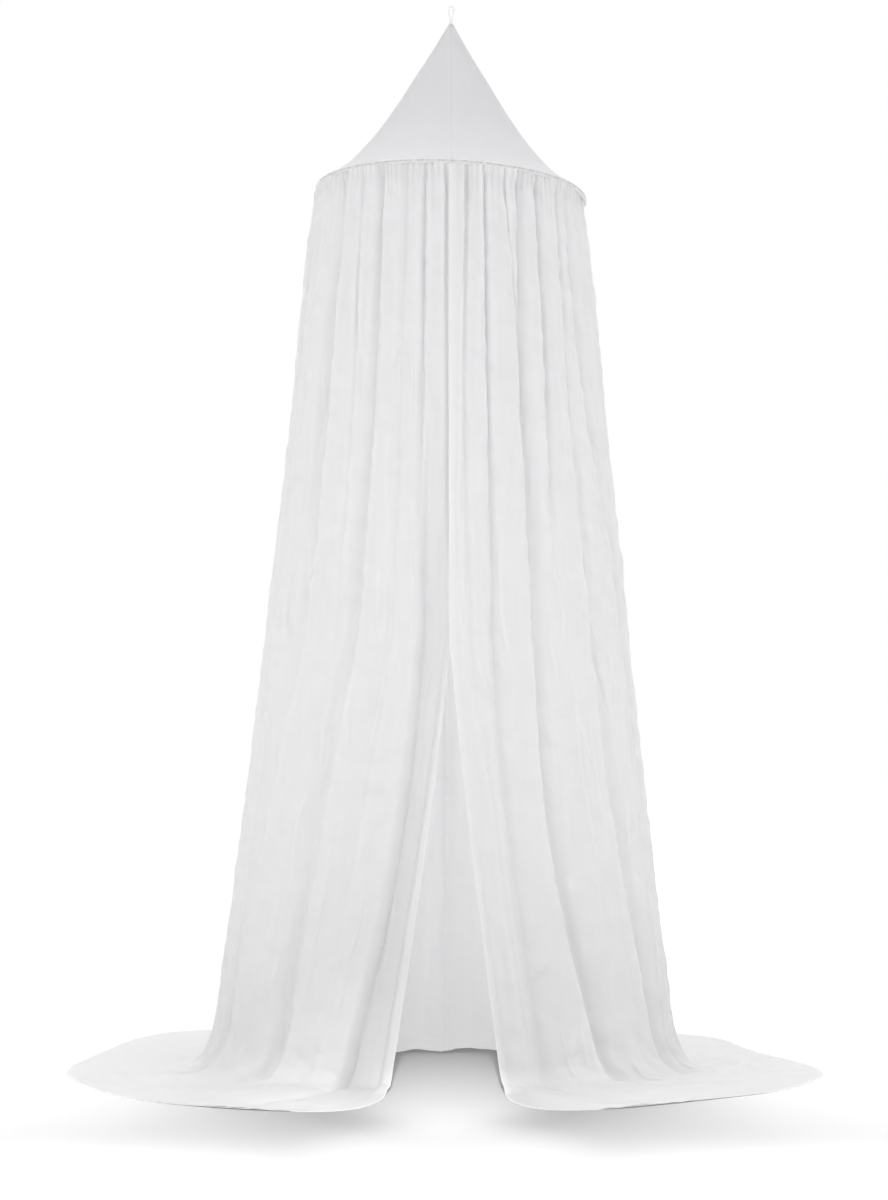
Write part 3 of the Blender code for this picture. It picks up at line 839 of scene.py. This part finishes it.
def crinkle_group():
    """Soft small creases that washing leaves in thin cloth, longer down the cloth than across."""
    tree, nodes, given, out = group_tree(
        "Washed crinkle", {"Vector": None, "Size": 0.02, "Length Ratio": 3.0}, ("Height",)
    )
    scale = nodes.math("DIVIDE", 1.0, given["Size"])
    parts = nodes.add("ShaderNodeSeparateXYZ", Vector=given["Vector"]).outputs
    along = nodes.math("DIVIDE", parts["Y"], given["Length Ratio"])
    placed = nodes.add("ShaderNodeCombineXYZ", X=parts["X"], Y=along, Z=0.0).outputs[0]
    broad = nodes.noise(placed, Scale=scale, Detail=3.0, Roughness=0.5, Distortion=0.6)
    off_middle = nodes.math("ABSOLUTE", nodes.math("MULTIPLY_ADD", broad, 4.0, -2.0))
    sharp = nodes.math("MAXIMUM", nodes.math("SUBTRACT", 1.0, off_middle), 0.0)
    slanting = nodes.mapped(given["Vector"], Rotation=(0.0, 0.0, 0.6), Scale=(1.0, 0.45, 1.0))
    finer = nodes.math("MULTIPLY", scale, 0.8)
    wrinkle = nodes.noise(slanting, Scale=finer, Detail=2.0, Roughness=0.55, Distortion=1.2)
    line = nodes.math("ABSOLUTE", nodes.math("MULTIPLY_ADD", wrinkle, 7.0, -3.5))
    thin = nodes.math("MAXIMUM", nodes.math("SUBTRACT", 1.0, line), 0.0)
    soft = nodes.math("MULTIPLY_ADD", sharp, 0.35, broad)
    nodes.put(out["Height"], nodes.math("MULTIPLY_ADD", thin, 0.30, soft))
    return tree


def stitch_group():
    """A line of running stitch at a distance from an edge: a mask of its thread."""
    tree, nodes, given, out = group_tree(
        "Running stitch",
        {"From Edge": 0.0, "Along": 0.0, "Line At": HEM_WIDTH}
        | {"Stitch Length": 0.0032, "Thread Width": 0.0007},
        ("Thread",),
    )
    off = nodes.math("ABSOLUTE", nodes.math("SUBTRACT", given["From Edge"], given["Line At"]))
    inside = nodes.math("SUBTRACT", 1.0, nodes.math("DIVIDE", off, given["Thread Width"]))
    turns = nodes.math("FRACT", nodes.math("DIVIDE", given["Along"], given["Stitch Length"]))
    stitched = nodes.math("LESS_THAN", turns, 0.68)
    thread = nodes.math("MULTIPLY", nodes.math("MAXIMUM", inside, 0.0), stitched)
    nodes.put(out["Thread"], thread)
    return tree


def use_group(nodes, tree, **inputs):
    node = nodes.tree.nodes.new("ShaderNodeGroup")
    node.node_tree = tree
    for name, value in inputs.items():
        nodes.put(node.inputs[name.replace("_", " ")], value)
    return node.outputs


def new_material(name):
    material = bpy.data.materials.new(name)
    material.use_nodes = True
    tree = material.node_tree
    tree.nodes.clear()
    return material, Nodes(tree)


def voile_material(name, colour, hem_colour, glow, through_share, crinkle_height, groups):
    """White voile: weave, slubs and crinkle in the relief, hems a little whiter and denser; painted
    light on the folds' ridges, painted shade in their valleys and in the casing's groove.
    """
    weave, crinkle, stitch = groups
    material, nodes = new_material(name)
    uv = nodes.cloth_uv()
    woven = use_group(nodes, weave, Vector=uv, Thread_Pitch=0.0006, Slub=0.6)
    crinkled = use_group(nodes, crinkle, Vector=uv, Size=0.028, Length_Ratio=2.4)
    edge = nodes.mask("from_edge")
    thread = use_group(nodes, stitch, From_Edge=edge, Along=nodes.mask("along_edge"))["Thread"]

    slubby = nodes.math("MULTIPLY_ADD", woven["Slubs"], 0.20, 0.58)
    # Painted light on the folds' ridges and painted shade in their valleys, with the slubs' own
    # uneven tone.
    slubs_and_fold_light = nodes.math("MULTIPLY_ADD", nodes.mask("painted_fold_shading"), 0.60, slubby)
    plain = nodes.mix(slubs_and_fold_light, tuple(VALLEY_SHADE * c for c in colour), colour)
    # On the casing the sewn mask also carries the painted shade in the groove of its seam.
    hemmed = nodes.mix(nodes.mask("sewn"), plain, hem_colour)
    stitched = nodes.mix(thread, hemmed, THREAD_COLOUR)
    rough = nodes.math("MULTIPLY_ADD", woven["Slubs"], 0.12, 0.86)

    fine = nodes.bump(0.25, 0.0002, woven["Height"])
    creased = nodes.bump(0.5, crinkle_height, crinkled["Height"], Normal=fine)
    raised = nodes.bump(0.5, 0.0005, thread, Normal=creased)
    gloss = {"Specular_IOR_Level": 0.25, "Sheen_Weight": 0.12, "Sheen_Roughness": 0.4}
    front = nodes.principled(stitched, rough, Normal=raised, **gloss)
    behind = nodes.add("ShaderNodeBsdfTranslucent", Color=(*glow, 1)).outputs[0]
    inward = nodes.ramp(edge, 0.0, 0.002, through_share)
    nodes.surface(nodes.add("ShaderNodeMixShader", i0=inward, i1=front, i2=behind).outputs[0])
    return material


def cord_material():
    """White cotton with fine fibres."""
    material, nodes = new_material("twisted cotton cord")
    fibres = nodes.noise(nodes.cloth_uv(), Scale=2400.0, Detail=3.0)
    fuzz = nodes.ramp(fibres, 0.3, 0.7, 1.0)
    colour = nodes.mix(fuzz, (0.68, 0.68, 0.67), (0.84, 0.84, 0.83))
    rough = nodes.math("MULTIPLY_ADD", fibres, 0.2, 0.75)
    relief = nodes.bump(0.4, 0.0002, fibres)
    nodes.surface(nodes.principled(colour, rough, Normal=relief, Sheen_Weight=0.2))
    return material


def rod_material():
    """White plastic rod with faint marks of the extruder along it."""
    material, nodes = new_material("white plastic rod")
    marks = nodes.noise(nodes.add("ShaderNodeTexCoord").outputs["Object"], Scale=90.0, Detail=4.0)
    colour = nodes.mix(marks, (0.80, 0.80, 0.79), (0.88, 0.88, 0.87))
    rough = nodes.math("MULTIPLY_ADD", marks, 0.2, 0.3)
    nodes.surface(nodes.principled(colour, rough, Normal=nodes.bump(0.2, 0.0003, marks)))
    return material


# ---------- the pieces
def make_panel(name, replaced, start, end, columns, material):
    """One of the skirt's four panels, between two shares."""
    start = start + (SEAM_GAP if start > 0 else 0)
    end = end - (SEAM_GAP if end < 1 else 0)
    share, level = np.meshgrid(columns_across(start, end, columns), panel_levels(), indexing="ij")
    points = fine_cloth(share, level)
    front, hem, _ = distances(share, level)
    edge = np.minimum(front, hem)
    down = read(CLOTH_RUN, level)
    sewn = smooth((HEM_WIDTH + 0.0015 - edge) / 0.003)
    along = np.where(front < hem, down, share * HEM_LENGTH)
    uv = np.stack([share * GRAIN_WIDTH, down], -1)
    # Painted light on the folds' ridges and painted shade in their valleys.
    edges = fold_shading(share, level)
    masks = {"sewn": sewn, "from_edge": edge, "along_edge": along, "painted_fold_shading": edges}
    piece = sheet_object(name, points, uv, masks)
    thicken(piece, HEM_VOILE, VOILE / HEM_VOILE, sewn)
    finish_piece(piece, material, "skirt_voile", replaced)


def from_cone_seam(turn, radius):
    """Metres round the cone from its nearer seam, at the front or at the back."""
    return np.minimum(np.abs(turn), math.pi - np.abs(turn)) * radius


def cone_point(turn, along):
    """The cone's cloth. turn is from the front, and along from the point (0) to the hoop (1)."""
    place = along * (len(CONE_PROFILE) - 1)
    rows = [(i, radius, height) for i, (radius, height) in enumerate(CONE_PROFILE)]
    profile = through(rows, place)
    radius, height = profile[..., 0], profile[..., 1]
    taut = np.sin(np.pi * np.clip(along, 0, 1))
    slack = sum(
        high * taut * soft_noise(turn / wide + 40, along * long, seed)
        for high, wide, long, seed in CONE_SLACK
    )
    near_hoop = smooth((along - 0.80) / 0.20) * (1 - smooth((along - 0.985) / 0.015))
    slack += 0.0007 * near_hoop * soft_noise(turn / 0.035 + 60, along * 8.0, 23)
    seam = from_cone_seam(turn, radius)
    slack += 0.0003 * smooth(1 - seam / 0.0045) * smooth(along * 12) * (1 - near_hoop)
    slack += 0.0006 * soft_noise(along * 30, turn * 6 + 30, 24) * np.exp(-seam / 0.01) * taut
    radius = radius + slack
    x = radius * np.sin(turn)
    z = HOOP_HEIGHT + height + 0.4 * slack - HOOP_LEAN * x
    return np.stack([x, -radius * np.cos(turn), z], -1)


def make_cone(material):
    """The cone's two halves, which meet in seams at the front and at the back."""
    for name, replaced, first, last in (
        ("cone_voile_left", "cone_left", -CONE_SEAM_TURN, -math.pi + CONE_SEAM_TURN),
        ("cone_voile_right", "cone_right", math.pi - CONE_SEAM_TURN, CONE_SEAM_TURN),
    ):
        turn, along = np.meshgrid(
            np.linspace(first, last, CONE_COLUMNS), np.linspace(0.0, 1.0, CONE_ROWS), indexing="ij"
        )
        points = cone_point(turn, along)
        from_hoop = (1 - along) * CONE_SLANT
        uv = np.stack([turn * CONE_MEAN_RADIUS, along * CONE_SLANT], -1)
        sewn = smooth((0.009 - from_hoop) / 0.003)
        seam = from_cone_seam(turn, np.hypot(points[..., 0], points[..., 1]))
        edge = np.minimum(seam + HEM_WIDTH - 0.0055, from_hoop + HEM_WIDTH - 0.008)
        along_edge = np.where(seam < from_hoop, along * CONE_SLANT, turn * 0.25)
        masks = {"sewn": sewn, "from_edge": edge, "along_edge": along_edge}
        piece = sheet_object(name, points, uv, masks)
        thicken(piece, CONE_VOILE, 0.6, sewn)
        finish_piece(piece, material, "cone_voile", replaced)


def make_casing(material):
    """The cloth roll round the hoop, gathered along the seam where cone and skirt are sewn in;
    painted shade darkens the seam's groove.
    """
    i, k = np.meshgrid(np.arange(CASING_TURNS), np.arange(CASING_SIDES), indexing="ij")
    turn, round_wire = 2 * math.pi * i / CASING_TURNS, 2 * math.pi * k / CASING_SIDES
    across = turn * HOOP_RADIUS
    wide = HOOP_WIRE_RADIUS + PIECE_GAP + CASING_WALL
    from_groove = (round_wire - GROOVE_AT + math.pi) % (2 * math.pi) - math.pi
    groove = np.exp(-((from_groove / GROOVE_WIDTH) ** 2))
    ruffle = soft_noise(across / RUFFLE, round_wire * 0.8 + 5, 31)
    radius = wide + 0.0004 + 0.0003 * soft_noise(across / 0.012, round_wire + 9, 32)
    radius = radius + 0.00025 * ruffle - groove * (GROOVE_DEPTH - 0.0006 * ruffle)
    reach = HOOP_RADIUS + radius * np.cos(round_wire)
    x = reach * np.sin(turn)
    y = -reach * np.cos(turn)
    z = HOOP_HEIGHT + radius * np.sin(round_wire) - HOOP_LEAN * x
    number = i * CASING_SIDES + k
    step_turn, step_side = np.roll(number, -1, 0), np.roll(number, -1, 1)
    both = np.roll(step_turn, -1, 1)
    faces = np.stack([number, step_turn, both, step_side], -1).reshape(-1, 4)
    # Painted shade in the groove of the seam: there the sewn mask falls towards 0 and the casing
    # takes its dark cloth colour.
    shade = np.clip(groove * (0.75 - 0.45 * ruffle), 0, 1)
    masks = {"sewn": 1 - shade, "from_edge": np.full(shade.shape, 0.005), "along_edge": across}
    uv = np.stack([across, round_wire * wide], -1)
    piece = mesh_object("gathered_casing", np.stack([x, y, z], -1), faces.tolist(), uv, masks)
    finish_piece(piece, material, "casing_voile", "hoop_casing")


def loop_path():
    """The middle of the loop's cord: up from the cone's point, round the crown and down again."""
    top = HANG_HEIGHT - CORD_RADIUS - LOOP_HALF_WIDTH
    bottom = CONE_TIP_HEIGHT - LOOP_TAIL
    z = np.linspace(bottom, top, 90)[:-1]
    wide = smooth((z - CONE_TIP_HEIGHT) / (top - CONE_TIP_HEIGHT))
    x = -(LEG_HALF_APART + (LOOP_HALF_WIDTH - LEG_HALF_APART) * wide)
    leg = np.stack([x, 0 * z, z], -1)
    turn = np.linspace(0, math.pi, 40)
    crown = np.stack(
        [-LOOP_HALF_WIDTH * np.cos(turn), 0 * turn, top + LOOP_HALF_WIDTH * np.sin(turn)], -1
    )
    return np.concatenate([leg, crown, leg[::-1] * np.array([-1, 1, 1])])


def cord_object(name, path, radius):
    """A cord of three twisted strands along a path in the x-z plane."""
    ahead = unit(np.gradient(path, axis=0))
    depth = np.array([0.0, 1.0, 0.0])
    sideways = np.cross(depth, ahead)
    run = np.concatenate([[0], np.cumsum(np.linalg.norm(np.diff(path, axis=0), axis=1))])
    turn = np.linspace(0, 2 * math.pi, CORD_SIDES, endpoint=False)
    twist = run[:, None] / CORD_LAY * 2 * math.pi
    lobes = radius * (0.90 + 0.10 * np.cos(3 * turn[None, :] - twist))
    ring = lobes[..., None] * (
        np.cos(turn)[None, :, None] * sideways[:, None, :] + np.sin(turn)[None, :, None] * depth
    )
    count = len(path)
    number = np.arange(count * CORD_SIDES).reshape(count, CORD_SIDES)
    faces = np.stack(
        [number[:-1], np.roll(number[:-1], -1, 1), np.roll(number[1:], -1, 1), number[1:]], -1
    ).reshape(-1, 4).tolist()
    faces += [number[0, ::-1].tolist(), number[-1].tolist()]
    uv = np.stack(np.broadcast_arrays(turn[None, :] * radius, run[:, None]), -1)
    return mesh_object(name, path[:, None, :] + ring, faces, uv, {})


# ---------- making it
def make_loop():
    """The hanging loop, with the short end of its cord beside it."""
    loop = cord_object("twisted_loop", loop_path(), CORD_RADIUS * 1.02)
    reach = np.linspace(0, 1, 14)
    end_height = HANG_HEIGHT - 0.0085 + 0.0040 * reach**2
    end_path = np.stack([0.0045 + 0.0042 * reach, 0 * reach, end_height], -1)
    end = cord_object("cord_end", end_path, CORD_RADIUS * 0.7)
    cord = cord_material()
    bpy.ops.object.select_all(action="DESELECT")
    for piece in (end, loop):
        piece.data.materials.append(cord)
        piece.select_set(True)
    bpy.context.view_layer.objects.active = loop
    bpy.ops.object.join()
    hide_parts("hanging_loop")
    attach(loop, "root")


def make_canopy():
    groups = voile_weave_group(), crinkle_group(), stitch_group()
    skirt, cone, casing = [voile_material(*row, groups) for row in VOILES]
    for name, replaced, start, end, columns in PANELS:
        make_panel(name, replaced, start, end, columns, skirt)
    make_cone(cone)
    make_casing(casing)
    make_loop()
    hoop = frame["nodes"]["hoop"]
    hoop.data.materials.clear()
    hoop.data.materials.append(rod_material())


def make_camera():
    data = bpy.data.cameras.new("camera")
    data.sensor_width = SENSOR_WIDTH
    data.lens = SENSOR_WIDTH * FOCAL_SHARE
    data.shift_y = HORIZON_SHIFT
    camera = bpy.data.objects.new("camera", data)
    camera.location = CAMERA_PLACE
    camera.rotation_euler = (math.radians(90), 0.0, 0.0)
    bpy.context.scene.collection.objects.link(camera)
    bpy.context.scene.camera = camera


def make_floor():
    bpy.ops.object.select_all(action="DESELECT")
    bpy.ops.mesh.primitive_plane_add(size=40.0, location=(0, 0, -HANG_HEIGHT))
    floor = bpy.context.active_object
    floor.name = "floor"
    material, nodes = new_material("pale studio floor")
    cloudy = nodes.noise(nodes.add("ShaderNodeTexCoord").outputs["Object"], Scale=0.4, Detail=1.0)
    colour = nodes.mix(cloudy, *FLOOR_COLOURS)
    nodes.surface(nodes.principled(colour, 0.9, Specular_IOR_Level=0.0))
    floor.data.materials.append(material)
    return floor


def make_light(floor):
    """Even studio light, with lights of their own for the canopy and for the floor."""
    world = bpy.data.worlds.new("pale studio")
    world.use_nodes = True
    nodes = Nodes(world.node_tree)
    world.node_tree.nodes.clear()
    seen = nodes.add("ShaderNodeLightPath").outputs["Is Camera Ray"]
    strength = nodes.math("MULTIPLY_ADD", seen, 1 - SKY_LIGHT, SKY_LIGHT)
    sky = nodes.add("ShaderNodeBackground", Color=(1, 1, 1, 1), Strength=strength)
    nodes.add("ShaderNodeOutputWorld", Surface=sky.outputs[0])
    bpy.context.scene.world = world

    for name, energy, place in SOFT_KEYS:
        key = bpy.data.lights.new(name, "AREA")
        key.shape = "SQUARE"
        key.size = 1.0
        place_light(key, energy, place, KEY_TARGET)

    on_floor = bpy.data.collections.new("lit by the floor lights")
    on_floor.objects.link(floor)
    on_canopy = bpy.data.collections.new("lit by the canopy lights")
    for piece in bpy.context.scene.objects:
        if piece.type == "MESH" and piece != floor:
            on_canopy.objects.link(piece)
    for rows, receivers in ((SUNS_ON_CANOPY, on_canopy), (SUNS_ON_FLOOR, on_floor)):
        for name, energy, spread, place in rows:
            sun = bpy.data.lights.new(name, "SUN")
            sun.angle = math.radians(spread)
            place_light(sun, energy, place, (0, 0, -HANG_HEIGHT), receivers)
    for rows, receivers in ((SPOTS_ON_FLOOR, on_floor), (SPOTS_ON_CANOPY, on_canopy)):
        for name, energy, spread, blend, place, target in rows:
            spot = bpy.data.lights.new(name, "SPOT")
            spot.spot_size = math.radians(spread)
            spot.spot_blend = blend
            spot.shadow_soft_size = 0.05
            place_light(spot, energy, place, (*target, -HANG_HEIGHT), receivers)


def place_light(light, energy, place, target, receivers=None):
    """Puts a light in its place and aims it. Receivers are the only objects that it lights."""
    light.energy = energy
    placed = bpy.data.objects.new(light.name, light)
    placed.location = place
    ahead = Vector(target) - placed.location
    placed.rotation_euler = ahead.to_track_quat("-Z", "Y").to_euler()
    if receivers is not None:
        placed.light_linking.receiver_collection = receivers
    bpy.context.scene.collection.objects.link(placed)


make_camera()
make_canopy()
make_light(make_floor())
bpy.context.scene.view_settings.view_transform = "Standard"
